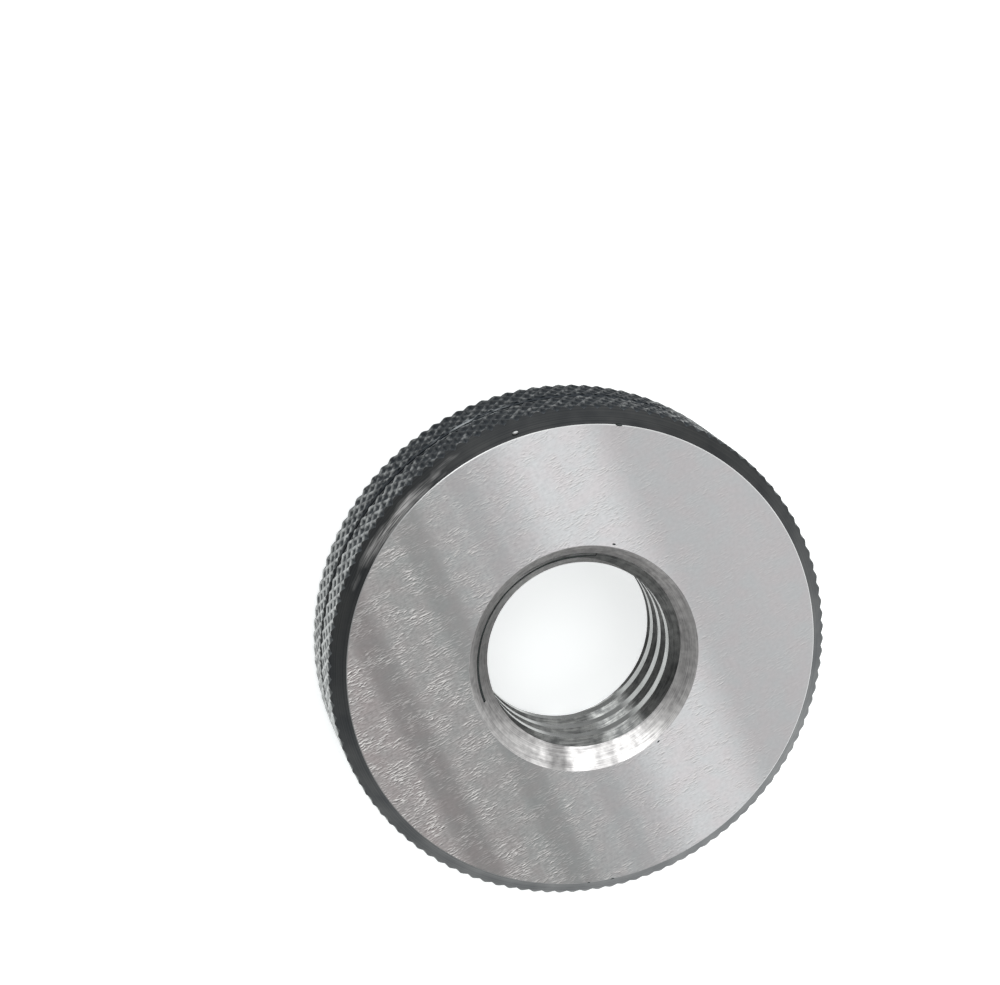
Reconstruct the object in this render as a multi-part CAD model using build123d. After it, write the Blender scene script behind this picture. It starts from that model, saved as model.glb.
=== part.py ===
from build123d import *
import math
import os

# Not-go thread ring gauge for a 3/4-10 UNC external thread: one ring of hardened
# tool steel, turned, knurled, grooved, threaded and lapped on both end faces.
# Millimetres, +Z along the bore, origin at the centre of the lower end face.

# Blank
outside_diameter = 45.0
thickness = 11.8
rim_chamfer = 1.4

# Diamond knurl: two crossing families of ridges with a pit in each diamond
knurl_ridges = 118
knurl_row = 1.0
knurl_depth = 0.35

# Groove round the middle of the rim, the mark of a not-go ring
groove_width = 1.0
groove_depth = 0.6

# Gauging thread: pitch line where groove and ridge are equally wide, cut-back crest, cleared root
thread_pitch = 2.54
flank_angle = 30.0
pitch_diameter = 17.203
crest_flat = 0.9525
root_flat = 0.15
thread_start = 2.55

# Countersink at both ends of the bore
mouth_diameter = 20.7
mouth_angle = 45.0

outside_radius = outside_diameter / 2
face_radius = outside_radius - rim_chamfer
groove_low = (thickness - groove_width) / 2
knurl_steps = 2 * knurl_ridges
flank_slope = math.tan(math.radians(flank_angle))
minor_radius = pitch_diameter / 2 - (thread_pitch / 2 - crest_flat) / 2 / flank_slope
major_radius = pitch_diameter / 2 + (thread_pitch / 2 - root_flat) / 2 / flank_slope


def rim_point(step, radius, height):
    """Point on the rim, with the angle counted in half ridges."""
    angle = step * 2 * math.pi / knurl_steps
    return Vector(radius * math.cos(angle), radius * math.sin(angle), height)


def flat(*corners):
    """Flat face with straight edges between its corners."""
    return Face(Wire.make_polygon(corners, close=True))


def knurled_bar():
    """Bar longer than the ring whose side is the knurl: ridges cross at full radius, with pits between."""
    base = groove_low % knurl_row
    first = math.floor(-base / knurl_row) - 1
    last = math.ceil((thickness - base) / knurl_row) + 1

    def point(step, row):
        on_ridge = (step + row) % 2 == 0
        radius = outside_radius if on_ridge else outside_radius - knurl_depth
        return rim_point(step, radius, base + row * knurl_row)

    faces = []
    for row in range(first, last + 1):
        for step in range(row % 2 + 1, row % 2 + knurl_steps, 2):
            pit = point(step, row)
            right = point(step + 1, row)
            left = point(step - 1, row)
            if row < last:
                above = point(step, row + 1)
                faces += [flat(pit, right, above), flat(pit, above, left)]
            if row > first:
                below = point(step, row - 1)
                faces += [flat(pit, below, right), flat(pit, left, below)]
    for row in (first, last):
        faces.append(flat(*[point(step, row) for step in range(knurl_steps)]))
    return Solid(Shell(faces))


def chamfered_bar():
    """Bar of the ring's thickness with both rim chamfers, cut as one flat for each half ridge."""
    reach = 2 * rim_chamfer
    rings = [
        (face_radius, 0),
        (face_radius + reach, reach),
        (face_radius + reach, thickness - reach),
        (face_radius, thickness),
    ]
    faces = []
    for lower, upper in zip(rings, rings[1:]):
        for step in range(knurl_steps):
            corners = [rim_point(step, *lower), rim_point(step + 1, *lower)]
            corners += [rim_point(step + 1, *upper), rim_point(step, *upper)]
            faces.append(flat(*corners))
    for ring in (rings[0], rings[-1]):
        faces.append(flat(*[rim_point(step, *ring) for step in range(knurl_steps)]))
    return Solid(Shell(faces))


def turned_blank():
    """Turned ring with a countersink at each end of its bore and the groove in its rim."""
    mouth_radius = mouth_diameter / 2
    mouth_depth = (mouth_radius - minor_radius) / math.tan(math.radians(mouth_angle))
    groove_high = groove_low + groove_width
    groove_floor = outside_radius - groove_depth
    stock_radius = outside_radius + groove_depth
    section = [
        (mouth_radius, 0),
        (stock_radius, 0),
        (stock_radius, groove_low),
        (groove_floor, groove_low),
        (groove_floor, groove_high),
        (stock_radius, groove_high),
        (stock_radius, thickness),
        (mouth_radius, thickness),
        (minor_radius, thickness - mouth_depth),
        (minor_radius, mouth_depth),
    ]
    return revolve(Plane.XZ * make_face(Polyline(*section, close=True)), Axis.Z)


def groove_turn():
    """One turn of the helical groove between the thread's crests, starting at angle 0."""
    inner = minor_radius - (major_radius - minor_radius) / 4

    def half_width(radius):
        return thread_pitch / 4 + (pitch_diameter / 2 - radius) * flank_slope

    section = [
        (inner, -half_width(inner)),
        (major_radius, -half_width(major_radius)),
        (major_radius, half_width(major_radius)),
        (inner, half_width(inner)),
    ]
    path = Helix(thread_pitch, thread_pitch, minor_radius)
    return sweep(Plane.XZ * make_face(Polyline(*section, close=True)), path=path, is_frenet=True)


def threaded(ring):
    """Cuts the right-hand thread turn by turn, run past both ends of the bore."""
    turn = groove_turn()
    first = math.floor(-(thread_start + thread_pitch) / thread_pitch)
    last = math.ceil((thickness - thread_start + thread_pitch) / thread_pitch)
    for number in range(first, last):
        ring = ring - Pos(0, 0, thread_start + number * thread_pitch) * turn
    return ring


def gauge_ring():
    """The finished ring: threaded blank under a knurled and chamfered rim."""
    return threaded(turned_blank()) & (knurled_bar() & chamfered_bar())


os.makedirs("parts", exist_ok=True)
export_step(gauge_ring(), "parts/gauge_ring.step")
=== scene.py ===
# %% [markdown]
# A thread ring gauge is one piece of hardened tool steel: a thick ring with a threaded bore,
# two flat lapped faces, dark chamfers and a diamond knurl to hold it by.
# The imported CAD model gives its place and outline. This lesson builds a finer skin over it:
# first a finish for each surface, then the turned blank, the thread, the knurl and the wear.

# %% Load the frame
import bmesh
import bpy
import math
from mathutils import Matrix, Vector


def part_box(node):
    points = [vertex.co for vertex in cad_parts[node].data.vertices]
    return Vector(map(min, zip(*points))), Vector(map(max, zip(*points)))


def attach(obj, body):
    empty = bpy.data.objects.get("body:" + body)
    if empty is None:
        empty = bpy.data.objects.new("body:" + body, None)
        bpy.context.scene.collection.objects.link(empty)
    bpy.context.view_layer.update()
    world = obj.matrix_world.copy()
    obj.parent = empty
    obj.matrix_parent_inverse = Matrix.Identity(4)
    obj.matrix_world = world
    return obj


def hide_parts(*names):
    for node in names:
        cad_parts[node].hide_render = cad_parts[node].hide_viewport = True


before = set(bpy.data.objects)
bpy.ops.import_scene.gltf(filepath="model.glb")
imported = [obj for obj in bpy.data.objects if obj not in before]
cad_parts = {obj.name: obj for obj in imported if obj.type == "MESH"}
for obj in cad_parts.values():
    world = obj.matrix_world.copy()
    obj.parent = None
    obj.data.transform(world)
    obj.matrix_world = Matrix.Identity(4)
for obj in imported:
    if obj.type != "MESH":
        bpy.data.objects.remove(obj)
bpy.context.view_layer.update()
MM = 0.001
low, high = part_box("gauge_ring")
thickness = (high[2] - low[2]) / MM
outside_radius = (high[0] - low[0]) / MM / 2
print("ring", round(2 * outside_radius, 3), "mm across,", round(thickness, 3), "mm thick")

# %% [markdown]
# The camera comes first, because every later choice is judged through it. The ring lies flat,
# and the camera looks down on it from the left and behind at about 67 degrees.
# Its three axes are written out, so that nothing depends on a tracking constraint.

# %% Place the camera
camera_place = Vector((-49.24, 64.29, 188.57 + thickness)) * MM
camera_right = Vector((0.976507, 0.0, 0.215485))
camera_up = Vector((0.052760, 0.969563, -0.239091))
camera_back = camera_right.cross(camera_up)

camera_data = bpy.data.cameras.new("camera")
camera_data.sensor_width = 36.0
camera_data.lens = 84.05
camera_data.clip_start = 0.01
camera = bpy.data.objects.new("camera", camera_data)
turn = Matrix((camera_right, camera_up, camera_back)).transposed()
camera.matrix_world = Matrix.Translation(camera_place) @ turn.to_4x4()
bpy.context.scene.collection.objects.link(camera)
bpy.context.scene.camera = camera
bpy.context.scene.view_settings.view_transform = "Standard"
print("camera", round(camera_place.length, 3), "m from the ring")

# %% [markdown]
# Materials are made of nodes. One small function adds a node: its settings, the values and
# sources of its sockets, and the output to go on with. A colour is given as a paint chart
# gives it, in hex, and is turned into the linear numbers that light uses.
# A socket is named by its label or its number. On a Map Range, 1 and 2 are the range it reads
# and 3 and 4 the one it gives, which is 0 to 1 if left out. On a colour Mix, 6 and 7 are the
# two colours and 0 is the share of the second.

# %% Node and colour helpers
def linear(hex_colour):
    """Linear RGBA of an sRGB hex colour such as 8A8D90."""
    shares = [int(hex_colour[i:i + 2], 16) / 255 for i in (0, 2, 4)]
    return [s / 12.92 if s <= 0.04045 else ((s + 0.055) / 1.055) ** 2.4 for s in shares] + [1.0]


def node(tree, kind, sockets, out=0, **settings):
    """Adds a node with its settings, fills its sockets and gives back one output."""
    new = tree.nodes.new("ShaderNode" + kind)
    for name, value in settings.items():
        setattr(new, name, value)
    for name, value in sockets.items():
        if isinstance(value, bpy.types.NodeSocket):
            tree.links.new(value, new.inputs[name])
        else:
            new.inputs[name].default_value = linear(value) if isinstance(value, str) else value
    return new.outputs[out]


def steel(name):
    """A new metal material: its tree, its shader, and the place on the object in metres."""
    made = bpy.data.materials.new(name)
    made.use_nodes = True
    shader = made.node_tree.nodes["Principled BSDF"].inputs
    shader["Metallic"].default_value = 1.0
    place = node(made.node_tree, "TexCoord", {}, out="Object")
    return made, made.node_tree, shader, place


print("middle grey 808080 is", round(linear("808080")[0], 3), "in linear light")

# %% [markdown]
# The end faces are hardened steel, ground and then lapped on a plate with strokes that all run
# one way. The eye sees a pale satin field with short bright scratches along the strokes, and
# soft duller bands across them.
# All of it is noise, or steps, laid along the strokes. So two helpers come first: one stretches
# noise along an angle, and one tells how far along the strokes a point lies.

# %% Lay patterns along the strokes
STROKE_ANGLE = math.radians(25)
# the noise is flat on a face: it only changes with height over this many mm
NOISE_HEIGHT = 3
# the bands aren't ruler straight: how far they wander, mm, and the length and width of a bend
WANDER, WANDER_LENGTH, WANDER_WIDTH = 0.8, 6.0, 30.0


def strokes(tree, place, length_mm, width_mm, aside_mm=0.0, angle=STROKE_ANGLE, detail=0.0):
    """Noise stretched into strokes of this size, laid along an angle of the face."""
    aside = (-math.sin(angle) * aside_mm * MM, math.cos(angle) * aside_mm * MM, 0)
    size = (length_mm * MM, width_mm * MM, NOISE_HEIGHT * MM)
    laid = node(tree, "Mapping", {"Vector": place, "Location": aside, "Rotation": (0, 0, angle),
                                  "Scale": size}, vector_type="TEXTURE")
    return node(tree, "TexNoise", {"Vector": laid, "Scale": 1.0, "Detail": detail})


def along_strokes(tree, place):
    """Place of a point along the strokes, mm from the middle of the face."""
    wander = strokes(tree, place, WANDER_LENGTH, WANDER_WIDTH, detail=1.0)
    way = (math.cos(STROKE_ANGLE) / MM, math.sin(STROKE_ANGLE) / MM, 0)
    run = node(tree, "VectorMath", {0: place, 1: way}, out="Value", operation="DOT_PRODUCT")
    run = node(tree, "Math", {0: wander, 1: WANDER, 2: run}, operation="MULTIPLY_ADD")
    return node(tree, "Math", {0: run, 1: WANDER / 2}, operation="SUBTRACT")


print("strokes at", round(math.degrees(STROKE_ANGLE)), "degrees")

# %% [markdown]
# The ground colour goes from a darker, warmer grey on one side to a paler one on the other;
# the warmth is the steel's own tone and the darker side is partly painted shade. Soft bands
# cross the strokes: painted shade and painted highlights, the room's reflection drawn out across
# the strokes. Each is a soft step in the distance from the band's middle, and together they
# scale the brightness.

# %% Colour the lapped field
# stretches along the strokes, mm, over which the warm tint goes and the pale tone comes
WARM_GOES = (-19.0, -10.0)
PALE_COMES = (-11.0, 1.0)
# painted bands: middle and half width along the strokes, mm, and share of light lost as painted shade; a
# negative one is a painted highlight
PAINTED_BANDS = (
    (-16.0, 2.0, 0.24),
    (-8.7, 2.0, 0.16),
    (-3.0, 1.6, 0.09),
    (5.0, 6.2, -0.37),
    (20.0, 6.0, -0.03),
)
# share of its half width over which a band keeps its full depth
BAND_CORE = 0.3
BLOTCH_MM = 1.6


def band_depth(tree, run):
    """Share of its light that a point loses in the painted bands; a negative share is a painted highlight.
    """
    painted_band_dimming = None
    for middle, half_width, depth in PAINTED_BANDS:
        away = node(tree, "Math", {0: run, 1: middle}, operation="SUBTRACT")
        away = node(tree, "Math", {0: away}, operation="ABSOLUTE")
        dip = node(tree, "MapRange", {0: away, 1: BAND_CORE * half_width, 2: half_width, 3: depth, 4: 0.0},
                   interpolation_type="SMOOTHSTEP")
        painted_band_dimming = dip if painted_band_dimming is None else node(tree, "Math", {0: painted_band_dimming, 1: dip}, operation="ADD")
    return painted_band_dimming


def field_tone(tree, place, run, painted_band_dimming):
    """Ground colour of the face, with its painted bands of shade and highlight, and its blotches."""
    # the darker side is partly painted shade; its warm tint is the steel's own tone
    pale = node(tree, "MapRange", {0: run, 1: PALE_COMES[0], 2: PALE_COMES[1]},
                interpolation_type="SMOOTHSTEP")
    cool = node(tree, "MapRange", {0: run, 1: WARM_GOES[0], 2: WARM_GOES[1]})
    dark = node(tree, "Mix", {0: cool, 6: "989494", 7: "949595"}, out=2, data_type="RGBA")
    tone = node(tree, "Mix", {0: pale, 6: dark, 7: "ACACAE"}, out=2, data_type="RGBA")
    level = node(tree, "Math", {0: 1.0, 1: painted_band_dimming}, operation="SUBTRACT")
    tone = node(tree, "VectorMath", {0: tone, "Scale": level}, operation="SCALE")
    # blotches of a slightly warm and a slightly green grey, as thin oil gives them
    blotch = node(tree, "TexNoise", {"Vector": place, "Scale": 1 / (BLOTCH_MM * MM), "Detail": 3.0})
    blotch = node(tree, "MapRange", {0: blotch, 1: 0.35, 2: 0.65})
    tint = node(tree, "Mix", {0: blotch, 6: "FEFBFA", 7: "FBFDFC"}, out=2, data_type="RGBA")
    return node(tree, "VectorMath", {0: tone, 1: tint}, operation="MULTIPLY")


print(len(PAINTED_BANDS), "bands on the face")

# %% [markdown]
# Close up the field is never even. A fine grain keeps it from looking polished, and over it lie
# strokes of a few lengths. Each is a painted highlight with a painted shade line beside it, the
# way light from one side shows a scratch. The darker side has many, the pale side few, and both
# fade in the painted bands. Real strokes are finer than these, which are drawn as coarse as
# they need to be to show.

# %% Scratch the lapped field
# grain: length and width of its streaks and size of its specks, mm
GRAIN_LONG, GRAIN_WIDE, GRAIN_SPECK = 0.7, 0.14, 0.3
# the stretch along the strokes over which the grain fades, mm, and its depth at either end
GRAIN_FADES, GRAIN_DEPTHS = (-16.0, 12.0), (0.17, 0.05)
# strokes: the two stretches along which they grow fewer, mm, and the share that each leaves
FEWER = ((-20.0, -4.0, 0.34), (7.0, 13.5, 0.3))
# length and width, mm, degrees off the common angle, level of noise above which it shows, strength
STROKES = (
    (0.75, 0.13, 4, 0.57, 0.7),
    (0.5, 0.11, -6, 0.56, 0.65),
    (1.35, 0.11, 0, 0.6, 0.7),
    (0.7, 0.15, 9, 0.63, 1.0),
)
# how far above that level a stroke is at full strength
STROKE_SOFTNESS = 0.1
# mm aside and colour of the painted shade line, then of the painted highlight that lies over it
STROKE_LINES = ((-0.1, "565454"), (0.0, "EAE8E6"))


def grained(tree, place, tone, run, band_fade, grain):
    """Lightens and darkens a tone by a grain, half of it along the strokes and half not."""
    mottle = strokes(tree, place, GRAIN_SPECK, GRAIN_SPECK, detail=2.0)
    mottle = node(tree, "Math", {0: grain, 1: mottle}, operation="ADD")
    mottle = node(tree, "MapRange", {0: mottle, 1: 0.7, 2: 1.3, 3: -1.0, 4: 1.0})
    depth = node(tree, "MapRange", {0: run, 1: GRAIN_FADES[0], 2: GRAIN_FADES[1],
                                    3: GRAIN_DEPTHS[0], 4: GRAIN_DEPTHS[1]})
    depth = node(tree, "Math", {0: depth, 1: band_fade}, operation="MULTIPLY")
    mottle = node(tree, "Math", {0: mottle, 1: depth, 2: 1.0}, operation="MULTIPLY_ADD")
    return node(tree, "VectorMath", {0: tone, "Scale": mottle}, operation="SCALE")


def stroke_share(tree, place, run, band_fade):
    """How strongly strokes show at a point: by side, by band, and in loose patches."""
    many = [node(tree, "MapRange", {0: run, 1: start, 2: end, 3: 1.0, 4: left})
            for start, end, left in FEWER]
    many = node(tree, "Math", {0: many[0], 1: many[1]}, operation="MULTIPLY")
    patch = strokes(tree, place, 2.2, 1.6, detail=2.0)
    patch = node(tree, "MapRange", {0: patch, 1: 0.42, 2: 0.6, 3: 0.1, 4: 1.1})
    share = node(tree, "Math", {0: many, 1: band_fade}, operation="MULTIPLY")
    return node(tree, "Math", {0: share, 1: patch}, operation="MULTIPLY")


def scratched(tree, place, tone, share):
    """Lays every kind of stroke over a tone."""
    for length_mm, width_mm, askew, from_level, strength in STROKES:
        angle = STROKE_ANGLE + math.radians(askew)
        for aside_mm, colour in STROKE_LINES:
            cut = strokes(tree, place, length_mm, width_mm, aside_mm, angle, 1.0)
            to_level = from_level + STROKE_SOFTNESS
            cut = node(tree, "MapRange", {0: cut, 1: from_level, 2: to_level, 4: strength})
            cut = node(tree, "Math", {0: cut, 1: share}, operation="MULTIPLY")
            tone = node(tree, "Mix", {0: cut, 6: tone, 7: colour}, out=2, data_type="RGBA")
    return tone


print(len(STROKES), "kinds of stroke")

# %% [markdown]
# The finish puts these together. Its roughness and a slight bump follow the grain, and its
# highlights are drawn out across the strokes, as they are on any metal brushed one way.

# %% Lapped face finish
# mm of relief that a bump stands for, on every metal here
BUMP_HEIGHT = 0.01


def lapped_steel():
    """Pale satin field with a grain and strokes, with painted shade and painted highlights in its bands.
    """
    made, tree, shader, place = steel("lapped_steel")
    run = along_strokes(tree, place)
    painted_band_dimming = band_depth(tree, run)
    # what is left of the grain and strokes where a painted shade band darkens the face
    band_fade = node(tree, "MapRange", {0: painted_band_dimming, 1: 0.0, 2: 0.12, 3: 1.0, 4: 0.4})
    grain = strokes(tree, place, GRAIN_LONG, GRAIN_WIDE, detail=2.0)
    tone = field_tone(tree, place, run, painted_band_dimming)
    tone = grained(tree, place, tone, run, band_fade, grain)
    tone = scratched(tree, place, tone, stroke_share(tree, place, run, band_fade))
    rough = node(tree, "MapRange", {0: grain, 1: 0.3, 2: 0.7, 3: 0.36, 4: 0.46})
    bump = node(tree, "Bump", {"Strength": 0.03, "Distance": BUMP_HEIGHT * MM, "Height": grain})
    across = node(tree, "CombineXYZ", {0: -math.sin(STROKE_ANGLE), 1: math.cos(STROKE_ANGLE)})
    tree.links.new(tone, shader["Base Color"])
    tree.links.new(rough, shader["Roughness"])
    tree.links.new(bump, shader["Normal"])
    tree.links.new(across, shader["Tangent"])
    shader["Anisotropic"].default_value = 0.5
    return made


face_finish = lapped_steel()
print(face_finish.name, "has", len(face_finish.node_tree.nodes), "nodes")

# %% [markdown]
# Everything else on the ring was turned, so its marks go round the axis. Noise is read in a
# direction from the axis, a radius and a height: long steps round the ring make it a fine line
# from the tool, and equal steps make it a patch of wear. A second helper tells which side of the
# ring a point is on. It mostly places painted light on chosen sides: painted shade, painted
# highlights and painted reflections. It also places one real scuff.

# %% Lay patterns round the axis
def wound(tree, place, round_mm, across_mm, at_radius_mm, detail=2.0):
    """Noise round the axis, of this size round the ring and across it."""
    flat = node(tree, "VectorMath", {0: place, 1: (1, 1, 0)}, operation="MULTIPLY")
    radius = node(tree, "VectorMath", {0: flat}, out="Value", operation="LENGTH")
    way = node(tree, "VectorMath", {0: flat}, operation="NORMALIZE")
    out = node(tree, "CombineXYZ", {2: radius})
    step = at_radius_mm / round_mm
    both = node(tree, "VectorMath", {0: out, 1: (1, 1, 1 / (across_mm * MM))}, operation="MULTIPLY")
    both = node(tree, "VectorMath", {0: way, 1: (step, step, 0), 2: both}, operation="MULTIPLY_ADD")
    height = node(tree, "SeparateXYZ", {0: place}, out=2)
    height = node(tree, "Math", {0: height, 1: across_mm * MM}, operation="DIVIDE")
    return node(tree, "TexNoise", {"Vector": both, "W": height, "Scale": 1.0, "Detail": detail},
                noise_dimensions="4D")


def facing(tree, place, angle, start, end, before=0.0, after=1.0):
    """Goes from one value to another as a point's side of the ring nears an angle.

    Start and end are cosines of how far it still is from that angle.
    """
    way = node(tree, "VectorMath", {0: place, 1: (1, 1, 0)}, operation="MULTIPLY")
    way = node(tree, "VectorMath", {0: way}, operation="NORMALIZE")
    toward = (math.cos(math.radians(angle)), math.sin(math.radians(angle)), 0)
    near = node(tree, "VectorMath", {0: way, 1: toward}, out="Value", operation="DOT_PRODUCT")
    return node(tree, "MapRange", {0: near, 1: start, 2: end, 3: before, 4: after})


print("a patch of 3 mm on the rim spans", round(math.degrees(3 / outside_radius), 1), "degrees")

# %% [markdown]
# Turned and ground steel share one recipe: tool lines and patches between a dark and a light
# tone, then sides of the ring made darker or brighter by painted shade and painted highlights.
# The chamfers kept the dark skin of the hardening, nearly black, and on one side handling has
# rubbed bright streaks into it.

# %% Turned finish
# the side of the ring with rubbed streaks, how far out there they begin and are full, and how
# deep under the face they begin and are full, mm
STREAK_WAY = (-0.77, 0.64)
STREAK_OUT = (21.7, 22.7)
STREAK_DEPTH = (0.5, 0.1)


def rubbed_streaks(tree, place, at_radius_mm):
    """Streaks along the turning, on one side of the ring, next to the upper face."""
    streak = wound(tree, place, 2.0, 0.09, at_radius_mm)
    streak = node(tree, "MapRange", {0: streak, 1: 0.38, 2: 0.62, 3: 0.15})
    wander = wound(tree, place, 2.5, 1.0, at_radius_mm)
    way = (STREAK_WAY[0] / MM, STREAK_WAY[1] / MM, 0)
    out = node(tree, "VectorMath", {0: place, 1: way}, out="Value", operation="DOT_PRODUCT")
    out = node(tree, "Math", {0: wander, 1: 2.0, 2: out}, operation="MULTIPLY_ADD")
    near = node(tree, "MapRange", {0: out, 1: STREAK_OUT[0], 2: STREAK_OUT[1]})
    height = node(tree, "SeparateXYZ", {0: place}, out=2)
    height = node(tree, "Math", {0: wander, 1: 0.8 * MM, 2: height}, operation="MULTIPLY_ADD")
    high_up = node(tree, "MapRange", {0: height, 1: (thickness - STREAK_DEPTH[0]) * MM,
                                      2: (thickness - STREAK_DEPTH[1]) * MM})
    streak = node(tree, "Math", {0: streak, 1: near}, operation="MULTIPLY")
    return node(tree, "Math", {0: streak, 1: high_up}, operation="MULTIPLY")


def turned_steel(name, at_radius_mm, dark, light, rough, line_mm=0.1, line_long_mm=30.0,
                 patch_mm=3.0, sides=(), shine=0.0):
    """Metal with tool lines and patches; each side is what facing() takes, as a brightness of painted
    light: painted shade below 1, a painted highlight above.
    """
    made, tree, shader, place = steel(name)
    lines = wound(tree, place, line_long_mm, line_mm, at_radius_mm)
    patches = wound(tree, place, patch_mm, patch_mm, at_radius_mm, 3.0)
    mixed = node(tree, "Math", {0: lines, 1: patches}, operation="ADD")
    share = node(tree, "MapRange", {0: mixed, 1: 0.75, 2: 1.25})
    tone = node(tree, "Mix", {0: share, 6: dark, 7: light}, out=2, data_type="RGBA")
    # each side scales the tone: below 1 it is painted shade, above 1 a painted highlight
    for side in sides:
        tone = node(tree, "VectorMath", {0: tone, "Scale": facing(tree, place, *side)}, operation="SCALE")
    if shine:
        streak = rubbed_streaks(tree, place, at_radius_mm)
        streak = node(tree, "Math", {0: streak, 1: shine}, operation="MULTIPLY")
        tone = node(tree, "Mix", {0: streak, 6: tone, 7: "C4C3C2"}, out=2, data_type="RGBA")
    roughness = node(tree, "MapRange", {0: share, 3: rough + 0.05, 4: rough - 0.05})
    bump = node(tree, "Bump", {"Strength": 0.3, "Distance": BUMP_HEIGHT * MM, "Height": mixed})
    tree.links.new(tone, shader["Base Color"])
    tree.links.new(roughness, shader["Roughness"])
    tree.links.new(bump, shader["Normal"])
    return made


print("streaks on the", round(math.degrees(math.atan2(STREAK_WAY[1], STREAK_WAY[0]))), "degree side")

# %% [markdown]
# The knurl was rolled, then hardened, so it has the same black skin. Hands rub it off the tops
# of the ridges first and leave them bright, while the pits stay dark. How far a point stands out
# from the axis says whether it is a pit, a flank or a crest. The side of the rim adds painted
# light: darkest, in painted shade, near 100 degrees, brighter with painted highlights on three
# other sides, with loose patches of real wear over it.

# %% Worn knurl finish, with painted light by side
# as facing() takes them: angle of a side that is painted lighter, the cosines where that begins
# and is full, the level before, and the level there; where all are low the knurl is in painted shade
PAINTED_LIGHT_SIDES = ((230, -0.3, 1.0, 0.0, 0.87), (335, 0.0, 0.6, 0.0, 0.35), (52, 0.93, 0.99, 0.0, 0.15))
# wear that loose patches add, and how much of it all is too faint to show
PATCH_WEAR, FAINT_WEAR = 0.45, 0.25
# radius at which the sizes of its patches are true, mm
KNURL_RADIUS = 22.5
# depths under the rim, mm, between which a pit turns to flank and a flank to crest
FLANK_FROM, FLANK_TO = 0.28, 0.12
CREST_FROM, CREST_TO = 0.11, 0.02
# a short scuffed stretch beside the groove: side of the ring, and mm from the middle height
SCUFF_SIDE = (114, 0.984, 0.993)
SCUFF_FROM, SCUFF_TO = 0.75, 0.55


def knurl_wear_and_light(tree, place, patches):
    """How much of the black skin is gone, with the painted light of each side added, from 0 to 1."""
    wear_and_painted_light = None
    for side in PAINTED_LIGHT_SIDES:
        side_light = facing(tree, place, *side)
        wear_and_painted_light = side_light if wear_and_painted_light is None else node(tree, "Math", {0: wear_and_painted_light, 1: side_light}, operation="ADD")
    wear_and_painted_light = node(tree, "Math", {0: patches, 1: PATCH_WEAR, 2: wear_and_painted_light}, operation="MULTIPLY_ADD")
    return node(tree, "Math", {0: wear_and_painted_light, 1: FAINT_WEAR}, operation="SUBTRACT", use_clamp=True)


def scuffed_lips(tree, place):
    """Broken pale rubbing on the groove's lips, over a short stretch of the rim."""
    height = node(tree, "SeparateXYZ", {0: place}, out=2)
    height = node(tree, "Math", {0: height, 1: thickness / 2 * MM}, operation="SUBTRACT")
    height = node(tree, "Math", {0: height}, operation="ABSOLUTE")
    scuff = node(tree, "MapRange", {0: height, 1: SCUFF_FROM * MM, 2: SCUFF_TO * MM})
    scuff = node(tree, "Math", {0: scuff, 1: facing(tree, place, *SCUFF_SIDE)}, operation="MULTIPLY")
    broken = wound(tree, place, 1.6, 0.3, KNURL_RADIUS)
    broken = node(tree, "MapRange", {0: broken, 1: 0.42, 2: 0.56})
    return node(tree, "Math", {0: scuff, 1: broken}, operation="MULTIPLY")


def knurled_steel():
    """Black skin, bright on the ridges where hands took it off, with painted shade and painted highlights
    by side of the rim.
    """
    made, tree, shader, place = steel("worn_black_knurl_painted_light")
    flat = node(tree, "VectorMath", {0: place, 1: (1 / MM, 1 / MM, 0)}, operation="MULTIPLY")
    radius = node(tree, "VectorMath", {0: flat}, out="Value", operation="LENGTH")
    patches = wound(tree, place, 0.7, 0.7, KNURL_RADIUS, 3.0)
    patches = node(tree, "MapRange", {0: patches, 1: 0.35, 2: 0.65})
    wear_and_painted_light = knurl_wear_and_light(tree, place, patches)
    # the first colour of each is the black skin where the sides leave painted shade, with the pit paler
    # than the crest; the second is where wear and painted highlights show
    crest = node(tree, "Mix", {0: wear_and_painted_light, 6: "1F2327", 7: "CDCFCE"}, out=2, data_type="RGBA")
    flank = node(tree, "Mix", {0: wear_and_painted_light, 6: "292D31", 7: "545655"}, out=2, data_type="RGBA")
    pit = node(tree, "Mix", {0: wear_and_painted_light, 6: "4A4E52", 7: "191B1B"}, out=2, data_type="RGBA")
    on_flank = node(tree, "MapRange", {0: radius, 1: outside_radius - FLANK_FROM,
                                       2: outside_radius - FLANK_TO})
    on_crest = node(tree, "MapRange", {0: radius, 1: outside_radius - CREST_FROM,
                                       2: outside_radius - CREST_TO})
    tone = node(tree, "Mix", {0: on_flank, 6: pit, 7: flank}, out=2, data_type="RGBA")
    tone = node(tree, "Mix", {0: on_crest, 6: tone, 7: crest}, out=2, data_type="RGBA")
    tone = node(tree, "Mix", {0: scuffed_lips(tree, place), 6: tone, 7: "84888A"}, out=2, data_type="RGBA")
    rough = node(tree, "MapRange", {0: wear_and_painted_light, 2: 0.5, 3: 0.62, 4: 0.38})
    bump = node(tree, "Bump", {"Strength": 0.2, "Distance": BUMP_HEIGHT * MM, "Height": patches})
    tree.links.new(tone, shader["Base Color"])
    tree.links.new(rough, shader["Roughness"])
    tree.links.new(bump, shader["Normal"])
    return made


knurl_finish = knurled_steel()
print(knurl_finish.name, "has", len(knurl_finish.node_tree.nodes), "nodes")
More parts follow.
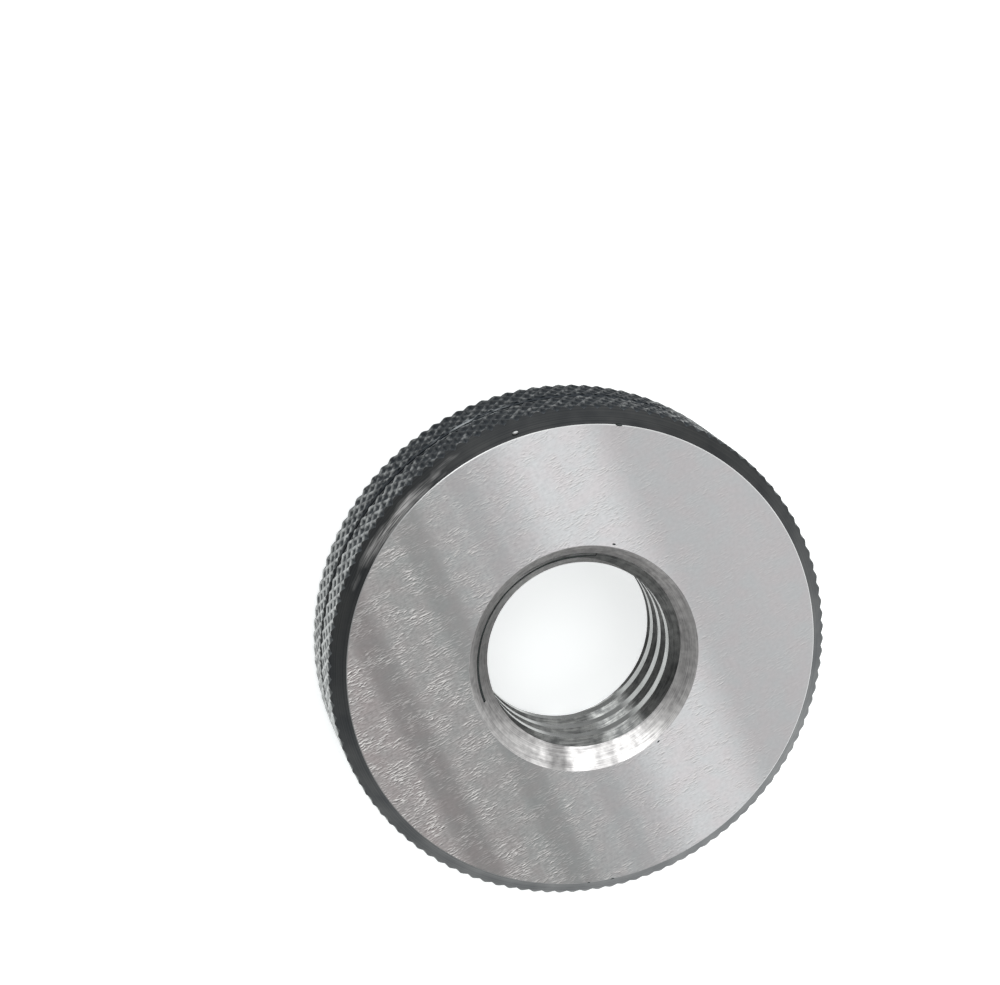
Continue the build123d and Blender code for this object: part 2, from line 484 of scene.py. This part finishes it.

# %% [markdown]
# Each kind of surface gets its finish. The broken edges are polished by handling and the bore is
# bright ground steel. Its mouth is a turned countersink. The sides given below are painted light:
# a painted highlight on the edge, painted shade and highlights round the chamfer, and in the
# countersink and thread the painted glints and dark painted reflections that a mirror-like cone
# shows on a few of its sides.

# %% Finish each surface
materials = {
    "face": face_finish,
    # its side is a painted highlight
    "edge": turned_steel("polished_edge", 21.1, "969797", "ABACAC", 0.35,
                         sides=((0, 0.35, 0.75, 1.0, 2.3),)),
    # its sides are painted shade and painted highlights; the bright streaks are wear
    "chamfer": turned_steel("black_oxide_chamfer", 22.0, "353739", "494A4A", 0.42, shine=0.8,
                            sides=((285, -1.0, 1.0, 0.6, 2.1), (45, 0.75, 0.97, 1.0, 0.72),
                                   (330, 0.7, 0.97, 1.0, 1.25))),
    "knurl": knurl_finish,
    # dull and dark, for the chips and for the score that the threading tool left
    "chip": turned_steel("dull_knurl_pit", 22.5, "2E3131", "4A4E4E", 0.5),
    "score": turned_steel("black_oxide_groove", 22.0, "2E3131", "3C4040", 0.5),
    # its sides are painted light on the near side, painted glints and dark painted reflections
    "mouth": turned_steel("turned_countersink", 9.3, "969595", "D0CFCE", 0.4,
                          line_mm=0.07, line_long_mm=3.0, patch_mm=0.6,
                          sides=((75, 0.1, 0.8, 1.0, 1.5), (0, 0.7, 0.95, 1.0, 0.85),
                                 (-75, 0.88, 0.95, 1.0, 1.15), (-103, 0.99, 0.9985, 1.0, 0.42),
                                 (-77, 0.992, 0.999, 1.0, 0.7))),
    # its sides are painted light on the near side and painted glints
    "flank": turned_steel("ground_thread_flank", 9.0, "353636", "575857", 0.28,
                          line_mm=0.08, line_long_mm=2.0, patch_mm=0.7,
                          sides=((75, 0.0, 0.6, 1.0, 3.0), (-60, 0.965, 0.985, 1.0, 2.0),
                                 (-85, 0.8, 0.92, 1.0, 1.4))),
    # its side is a dark painted reflection on the crests
    "thread_crest": turned_steel("ground_thread_crest", 8.3, "A2A4A2", "C4C5C4", 0.25,
                                 line_mm=0.08, patch_mm=2.0, sides=((-80, 0.82, 0.9, 1.0, 0.25),)),
}
FINISHES = list(materials)
print(len(FINISHES), "finishes")

# %% [markdown]
# The blank is turned on a lathe, so it is made the same way here: half its section, spun once
# round the axis. The section's sizes come first. A not-go gauge is told by the groove round its
# rim, and its thread has the standard's angle, pitch and cut-off crests.

# %% Sizes of the section
RIM_CHAMFER = 1.4
# the broken edges' width, and how much more than that they drop at the rim chamfer
EDGE_BREAK = 0.05
EDGE_DROP = 0.02
GROOVE_WIDTH = 1.0
GROOVE_DEPTH = 0.6
MOUTH_RADIUS = 10.35
THREAD_PITCH = 2.54
PITCH_RADIUS = 17.203 / 2
CREST_FLAT = 0.9525
ROOT_FLAT = 0.15
FLANK_SLOPE = math.tan(math.radians(30))
# stock left outside the knurl, which a later cut takes off
RIM_STOCK = 0.3

minor_radius = PITCH_RADIUS - (THREAD_PITCH / 2 - CREST_FLAT) / 2 / FLANK_SLOPE
major_radius = PITCH_RADIUS + (THREAD_PITCH / 2 - ROOT_FLAT) / 2 / FLANK_SLOPE
face_radius = outside_radius - RIM_CHAMFER
stock_radius = outside_radius + RIM_STOCK
groove_low = (thickness - GROOVE_WIDTH) / 2
groove_high = groove_low + GROOVE_WIDTH
groove_floor = outside_radius - GROOVE_DEPTH
print("bore", round(2 * minor_radius, 3), "mm, thread root", round(2 * major_radius, 3), "mm across")

# %% [markdown]
# The section is a closed outline of points: radius, height, and the finish of the stretch from
# there to the next point. It runs from the bore over the lower end to the rim, round the groove,
# and back over the upper end. The upper end is the lower one mirrored and walked the other way,
# so there each finish moves on by one point.

# %% Outline of the section
def end_outline(upper):
    """One end of the section, from the bore out to the rim."""
    def at(depth):
        return thickness - depth if upper else depth

    return [
        (minor_radius, at(MOUTH_RADIUS - minor_radius), "mouth"),
        (MOUTH_RADIUS - EDGE_BREAK, at(EDGE_BREAK), "mouth"),
        (MOUTH_RADIUS + EDGE_BREAK / 2, at(0), "face"),
        (face_radius - EDGE_BREAK, at(0), "edge"),
        (face_radius + EDGE_BREAK / 2, at(EDGE_BREAK / 2 + EDGE_DROP), "chamfer"),
        (stock_radius, at(stock_radius - face_radius), "chamfer"),
    ]


lower_end = end_outline(upper=False)
groove = [
    (stock_radius, groove_low, "knurl"),
    (groove_floor, groove_low, "knurl"),
    (groove_floor, groove_high, "knurl"),
    (stock_radius, groove_high, "chamfer"),
]
from_rim = end_outline(upper=True)[::-1]
finishes_inward = [finish for _, _, finish in from_rim[1:]] + ["thread_crest"]
upper_end = [(r, z, finish) for (r, z, _), finish in zip(from_rim, finishes_inward)]
outline = lower_end + groove + upper_end
print(len(outline), "corners in the section")

# %% [markdown]
# Spinning the outline makes the blank. A face that the spin sweeps lies nearest to the middle of
# its own stretch, and that is how each face finds its finish.

# %% Turn the blank
LATHE_STEPS = 472


def as_object(name, bm):
    """Puts a finished bmesh in an object of its own, with every finish in its slots."""
    mesh = bpy.data.meshes.new(name)
    bm.to_mesh(mesh)
    bm.free()
    made = bpy.data.objects.new(name, mesh)
    for finish in FINISHES:
        mesh.materials.append(materials[finish])
    bpy.context.scene.collection.objects.link(made)
    return made


def turned(name, outline):
    """Spins a closed outline once round the axis."""
    bm = bmesh.new()
    chain = [bm.verts.new((r * MM, 0, z * MM)) for r, z, _ in outline]
    for i, start in enumerate(chain):
        bm.edges.new((start, chain[(i + 1) % len(chain)]))
    bmesh.ops.spin(bm, geom=bm.verts[:] + bm.edges[:], axis=(0, 0, 1), cent=(0, 0, 0),
                   angle=2 * math.pi, steps=LATHE_STEPS, use_merge=True)
    bmesh.ops.remove_doubles(bm, verts=bm.verts[:], dist=0.0005 * MM)
    bmesh.ops.recalc_face_normals(bm, faces=bm.faces[:])
    middles = []
    for i, (r, z, finish) in enumerate(outline):
        next_r, next_z, _ = outline[(i + 1) % len(outline)]
        middles.append(((r + next_r) / 2, (z + next_z) / 2, FINISHES.index(finish)))
    for face in bm.faces:
        centre = face.calc_center_median() / MM
        r = math.hypot(centre.x, centre.y)
        nearest = min(middles, key=lambda m: (m[0] - r) ** 2 + (m[1] - centre.z) ** 2)
        face.material_index = nearest[2]
    return as_object(name, bm)


ring = turned("ring", outline)
print("blank", len(ring.data.polygons), "faces")

# %% [markdown]
# A thread is a groove that climbs as it goes round. Its cutter is the groove's section, spun
# round the same axis while it rises by one pitch each turn, and run out past both ends of the
# bore so that it leaves nothing behind. A boolean then takes it from the blank.

# %% Cut the thread
THREAD_START = 2.55
TURN_STEPS = 118
SPARE_TURNS = 3
CUTTER_PAST_BORE = 0.3


def shaped(piece, tool, operation):
    """Combines a piece with a tool and keeps the result as a plain mesh."""
    cutting = piece.modifiers.new("cut", "BOOLEAN")
    cutting.operation = operation
    cutting.object = tool
    cutting.solver = "EXACT"
    bpy.context.view_layer.update()
    evaluated = piece.evaluated_get(bpy.context.evaluated_depsgraph_get())
    result = bpy.data.meshes.new_from_object(evaluated)
    piece.modifiers.clear()
    piece.data = result
    bpy.data.objects.remove(tool)


def capped(name, bm, finish):
    """Closes both ends of a swept section and gives it one finish."""
    bmesh.ops.holes_fill(bm, edges=[e for e in bm.edges if e.is_boundary], sides=4)
    bmesh.ops.recalc_face_normals(bm, faces=bm.faces[:])
    for face in bm.faces:
        face.material_index = FINISHES.index(finish)
    return as_object(name, bm)


def thread_cutter():
    """Groove section spun and raised turn by turn."""
    def half_width(radius):
        return THREAD_PITCH / 4 + (PITCH_RADIUS - radius) * FLANK_SLOPE

    inner = minor_radius - CUTTER_PAST_BORE
    start = THREAD_START - SPARE_TURNS * THREAD_PITCH
    turns = math.ceil(thickness / THREAD_PITCH) + SPARE_TURNS
    corners = [(inner, -half_width(inner)), (major_radius, -half_width(major_radius)),
               (major_radius, half_width(major_radius)), (inner, half_width(inner))]
    bm = bmesh.new()
    verts = [bm.verts.new((r * MM, 0, (start + z) * MM)) for r, z in corners]
    section = bm.faces.new(verts)
    bmesh.ops.spin(bm, geom=[section] + section.edges[:] + section.verts[:],
                   axis=(0, 0, 1), cent=(0, 0, 0), dvec=(0, 0, THREAD_PITCH / TURN_STEPS * MM),
                   angle=2 * math.pi * turns, steps=TURN_STEPS * turns)
    return capped("thread_cutter", bm, "flank")


shaped(ring, thread_cutter(), "DIFFERENCE")
print("threaded", len(ring.data.polygons), "faces")

# %% [markdown]
# Where the threading tool drew back it left a thin dark score in the upper countersink. It is a
# small diamond section spun part of a turn while it rises. The countersink is a cone of 45
# degrees, so each point then moves out by as much as it has risen.

# %% Score the countersink
SCORE_FROM, SCORE_TO = 80.0, 202.0
SCORE_LOW, SCORE_HIGH = 10.45, 10.92
SCORE_STEPS = 48
# half sizes of the diamond along the cone and into it
SCORE_WIDE, SCORE_DEEP = 0.12, 0.1


def score_cutter():
    """Thin helical score round a part of the cone."""
    turn = math.radians(SCORE_TO - SCORE_FROM)
    rise = SCORE_HIGH - SCORE_LOW
    cone_radius = SCORE_LOW - thickness + MOUTH_RADIUS
    corners = [(-SCORE_WIDE, -SCORE_WIDE), (SCORE_DEEP, -SCORE_DEEP),
               (SCORE_WIDE, SCORE_WIDE), (-SCORE_DEEP, SCORE_DEEP)]
    first_turn = Matrix.Rotation(math.radians(SCORE_FROM), 3, "Z")
    bm = bmesh.new()
    verts = [bm.verts.new(((cone_radius + r) * MM, 0, (SCORE_LOW + z) * MM)) for r, z in corners]
    section = bm.faces.new(verts)
    bmesh.ops.rotate(bm, cent=(0, 0, 0), matrix=first_turn, verts=bm.verts[:])
    bmesh.ops.spin(bm, geom=[section] + section.edges[:] + section.verts[:],
                   axis=(0, 0, 1), cent=(0, 0, 0), dvec=(0, 0, rise / SCORE_STEPS * MM),
                   angle=turn, steps=SCORE_STEPS)
    for vert in bm.verts:
        angle = (math.atan2(vert.co.y, vert.co.x) - math.radians(SCORE_FROM)) % (2 * math.pi)
        flat = Vector((vert.co.x, vert.co.y, 0))
        vert.co += flat.normalized() * (angle / turn) * rise * MM
    return capped("score_cutter", bm, "score")


shaped(ring, score_cutter(), "DIFFERENCE")
print("scored", len(ring.data.polygons), "faces")

# %% [markdown]
# The knurl was pressed in by two toothed wheels, which leaves two families of ridges that cross,
# with a pit in each diamond. The net of diamonds starts as one zigzag, copied round the rim and
# split along its short diagonals. Each diamond is then set in step by step: a narrow top, a
# shoulder, two steps down the steep flank, and the rounded bottom of the pit.

# %% Knurl the rim
KNURL_RIDGES = 118
KNURL_ROW = 1.0
# width and depth of each step in from the ridge, mm
KNURL_STEPS = ((0.06, 0), (0.09, -0.05), (0.12, -0.12), (0.12, -0.12), (0.08, -0.04))
# the ridges stay this far inside the ring's own radius, so that rounding takes nothing past it
RIDGE_SPARE = 0.001


def knurled_bar():
    """Closed bar, longer than the ring, with the knurl all over its side."""
    base = groove_low % KNURL_ROW
    first = math.floor(-base / KNURL_ROW) - 1
    last = math.ceil((thickness - base) / KNURL_ROW) + 1
    radius = (outside_radius - RIDGE_SPARE) * MM
    bm = bmesh.new()
    chain = []
    for row in range(first, last + 1):
        angle = (row % 2) * math.pi / KNURL_RIDGES
        height = (base + row * KNURL_ROW) * MM
        chain.append(bm.verts.new((radius * math.cos(angle), radius * math.sin(angle), height)))
    for start, end in zip(chain, chain[1:]):
        bm.edges.new((start, end))
    bmesh.ops.spin(bm, geom=bm.verts[:] + bm.edges[:], axis=(0, 0, 1), cent=(0, 0, 0),
                   angle=2 * math.pi, steps=KNURL_RIDGES, use_merge=True)
    bmesh.ops.remove_doubles(bm, verts=bm.verts[:], dist=0.001 * MM)
    bmesh.ops.triangulate(bm, faces=bm.faces[:], quad_method="SHORT_EDGE")
    level = [e for e in bm.edges
             if not e.is_boundary and abs(e.verts[0].co.z - e.verts[1].co.z) < 0.01 * MM]
    bmesh.ops.dissolve_edges(bm, edges=level, use_verts=False)
    bmesh.ops.recalc_face_normals(bm, faces=bm.faces[:])
    diamonds = [f for f in bm.faces if len(f.verts) == 4]
    for width, depth in KNURL_STEPS:
        bmesh.ops.inset_individual(bm, faces=diamonds, thickness=width * MM, depth=depth * MM,
                                   use_even_offset=True)
    for face in bm.faces:
        face.material_index = FINISHES.index("knurl")
    bmesh.ops.holes_fill(bm, edges=[e for e in bm.edges if e.is_boundary], sides=0)
    bmesh.ops.recalc_face_normals(bm, faces=bm.faces[:])
    print("knurl", len(diamonds), "diamonds")
    return as_object("knurled_bar", bm)


shaped(ring, knurled_bar(), "INTERSECT")
print("knurled", len(ring.data.polygons), "faces")

# %% [markdown]
# Pressing the knurl pushed metal sideways into the groove. It stands there as a low lip along
# both edges, so the groove looks narrower than it was turned.

# %% Roll the groove's lips
# corners of the section, mm out from the rim and over the groove; the first two are behind its edge
LIP = ((-0.55, -0.02), (-0.12, -0.08), (-0.1, 0.08), (-0.2, 0.16), (-0.5, 0.05))


def groove_lip(edge, side):
    """Low rolled lip that hangs a little over the groove from one of its edges."""
    section = [(outside_radius + out, edge + side * over, "knurl") for out, over in LIP]
    return turned("groove_lip", section)


for edge, side in ((groove_low, 1), (groove_high, -1)):
    shaped(ring, groove_lip(edge, side), "UNION")
print("lipped", len(ring.data.polygons), "faces")

# %% [markdown]
# A gauge is handled and knocked, so its edges have small chips. Each is a squashed ball of a
# few tenths of a millimetre that a boolean bites out of the edge.

# %% Chip the edges
# angle, radius, depth under the face, radius of the ball, and finish
CHIPS = (
    (82.3, 21.22, -0.05, 0.36, "chip"),
    (76.4, 10.64, -0.04, 0.15, "chip"),
    (-50.0, 10.62, -0.05, 0.14, "chip"),
    (-82.5, 21.14, -0.04, 0.2, "chip"),
    (-88.5, 21.12, -0.04, 0.16, "chip"),
    (106.8, 21.52, 0.31, 0.24, "edge"),
)
# shares of the ball's radius across the edge, along it and down
CHIP_SQUASH = (0.65, 1.2, 0.65)


def chip_cutter():
    """One squashed ball for each chip."""
    bm = bmesh.new()
    for angle, radius, depth, size, finish in CHIPS:
        way = Matrix.Rotation(math.radians(angle), 3, "Z")
        ball = bmesh.ops.create_icosphere(bm, subdivisions=2, radius=size * MM)["verts"]
        bmesh.ops.scale(bm, vec=CHIP_SQUASH, verts=ball)
        bmesh.ops.translate(bm, vec=(radius * MM, 0, (thickness - depth) * MM), verts=ball)
        bmesh.ops.rotate(bm, cent=(0, 0, 0), matrix=way, verts=ball)
        for face in {f for v in ball for f in v.link_faces}:
            face.material_index = FINISHES.index(finish)
    return as_object("chip_cutter", bm)


shaped(ring, chip_cutter(), "DIFFERENCE")
print("chipped", len(ring.data.polygons), "faces")

# %% [markdown]
# Booleans leave tiny slivers, and every face comes out flat. Doubled points are merged, and
# faces are shaded smooth except across the edges that a finger would feel.

# %% Clean the ring
SHARP_ANGLE = math.radians(38)
SLIVER = 0.001


def cleaned(piece):
    """Merges doubles, drops slivers and marks the sharp edges."""
    bm = bmesh.new()
    bm.from_mesh(piece.data)
    bmesh.ops.remove_doubles(bm, verts=bm.verts[:], dist=SLIVER * MM)
    bmesh.ops.dissolve_degenerate(bm, edges=bm.edges[:], dist=SLIVER * MM)
    for face in bm.faces:
        face.smooth = True
    for edge in bm.edges:
        finishes = {face.material_index for face in edge.link_faces}
        edge.smooth = edge.is_manifold and len(finishes) == 1 and edge.calc_face_angle(0) < SHARP_ANGLE
    odd_edges = [e for e in bm.edges if not e.is_manifold]
    print("edges without two faces", len(odd_edges), "volume", round(bm.calc_volume() / MM ** 3, 1), "mm3")
    bm.to_mesh(piece.data)
    bm.free()


cleaned(ring)
ring.data.calc_loop_triangles()
print("finished ring", len(ring.data.loop_triangles), "triangles")
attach(ring, "root")
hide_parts("gauge_ring")

# %% [markdown]
# The floor is a plain pale sheet under the ring. It is far larger than the view, so no edge
# shows, and it keeps the ring's soft shadow. To the camera and in reflections it also glows a
# little, which makes it near white without any more light on the ring.

# %% Lay the floor
FLOOR_HALF_SIDE = 2.0
FLOOR_GLOW = 0.5


def pale_paper():
    """Matt and nearly white; the glow only shows to the camera and in reflections."""
    made = bpy.data.materials.new("pale_paper")
    made.use_nodes = True
    tree = made.node_tree
    shader = tree.nodes["Principled BSDF"].inputs
    shader["Base Color"].default_value = linear("F0F2F2")
    shader["Roughness"].default_value = 0.9
    shader["Specular IOR Level"].default_value = 0.1
    shader["Emission Color"].default_value = linear("FBFDFD")
    seen = node(tree, "Math", {0: node(tree, "LightPath", {}, out="Is Camera Ray"),
                               1: node(tree, "LightPath", {}, out="Is Glossy Ray")}, operation="ADD")
    seen = node(tree, "Math", {0: seen, 1: node(tree, "LightPath", {}, out="Is Transmission Ray")},
                operation="ADD", use_clamp=True)
    glow = node(tree, "Math", {0: seen, 1: FLOOR_GLOW}, operation="MULTIPLY")
    tree.links.new(glow, shader["Emission Strength"])
    return made


def floor_sheet():
    """One square face, centred under the ring."""
    bm = bmesh.new()
    bmesh.ops.create_grid(bm, x_segments=1, y_segments=1, size=FLOOR_HALF_SIDE)
    mesh = bpy.data.meshes.new("floor")
    bm.to_mesh(mesh)
    bm.free()
    mesh.materials.append(pale_paper())
    sheet = bpy.data.objects.new("floor", mesh)
    bpy.context.scene.collection.objects.link(sheet)
    return sheet


floor_sheet()
print("floor", 2 * FLOOR_HALF_SIDE, "m wide")

# %% [markdown]
# Metal shows what stands round it, so the light is built as large soft panels. A tall one
# behind the ring puts the glint in the countersink, one overhead lights the lapped face, and a
# small one reaches into the thread.

# %% Hang the lamps
def softbox(name, azimuth, elevation, distance, size, radiance):
    """Rectangular area light that faces the ring and looks this bright in a mirror."""
    data = bpy.data.lights.new(name, "AREA")
    data.shape = "RECTANGLE"
    data.size, data.size_y = size
    data.energy = radiance * math.pi * size[0] * size[1]
    lamp = bpy.data.objects.new(name, data)
    around, up = math.radians(azimuth), math.radians(elevation)
    away = Vector((math.cos(up) * math.cos(around), math.cos(up) * math.sin(around), math.sin(up)))
    lamp.location = away * distance
    lamp.rotation_euler = away.to_track_quat("Z", "Y").to_euler()
    bpy.context.scene.collection.objects.link(lamp)
    print(name, round(data.energy, 3), "W")


softbox("back_panel", azimuth=84, elevation=30, distance=0.5, size=(0.7, 0.44), radiance=1.6)
softbox("top_panel", azimuth=-40, elevation=66, distance=0.6, size=(0.34, 0.5), radiance=0.4)
softbox("thread_panel", azimuth=122, elevation=52, distance=0.5, size=(0.16, 0.2), radiance=2.5)

# %% [markdown]
# The room is a plain white world, brighter towards one upper corner, so that the metal has a
# soft change of tone to reflect from every side.

# %% Light the room
BRIGHT_WAY = Vector((0.45, 0.45, 0.77)).normalized()
# cosines to that way between which the room brightens, and its levels there
DIM_AT, BRIGHT_AT = -0.35, 0.7
DIM_LEVEL, BRIGHT_LEVEL = 0.32, 0.95

world = bpy.data.worlds.new("room")
world.use_nodes = True
room = world.node_tree
looked_at = node(room, "TexCoord", {}, out="Generated")
brightward = node(room, "VectorMath", {0: looked_at, 1: BRIGHT_WAY}, out="Value", operation="DOT_PRODUCT")
level = node(room, "MapRange", {0: brightward, 1: DIM_AT, 2: BRIGHT_AT, 3: DIM_LEVEL, 4: BRIGHT_LEVEL})
room.links.new(level, room.nodes["Background"].inputs["Strength"])
room.nodes["Background"].inputs["Color"].default_value = (1, 1, 1, 1)
bpy.context.scene.world = world
print("room from", DIM_LEVEL, "to", BRIGHT_LEVEL)
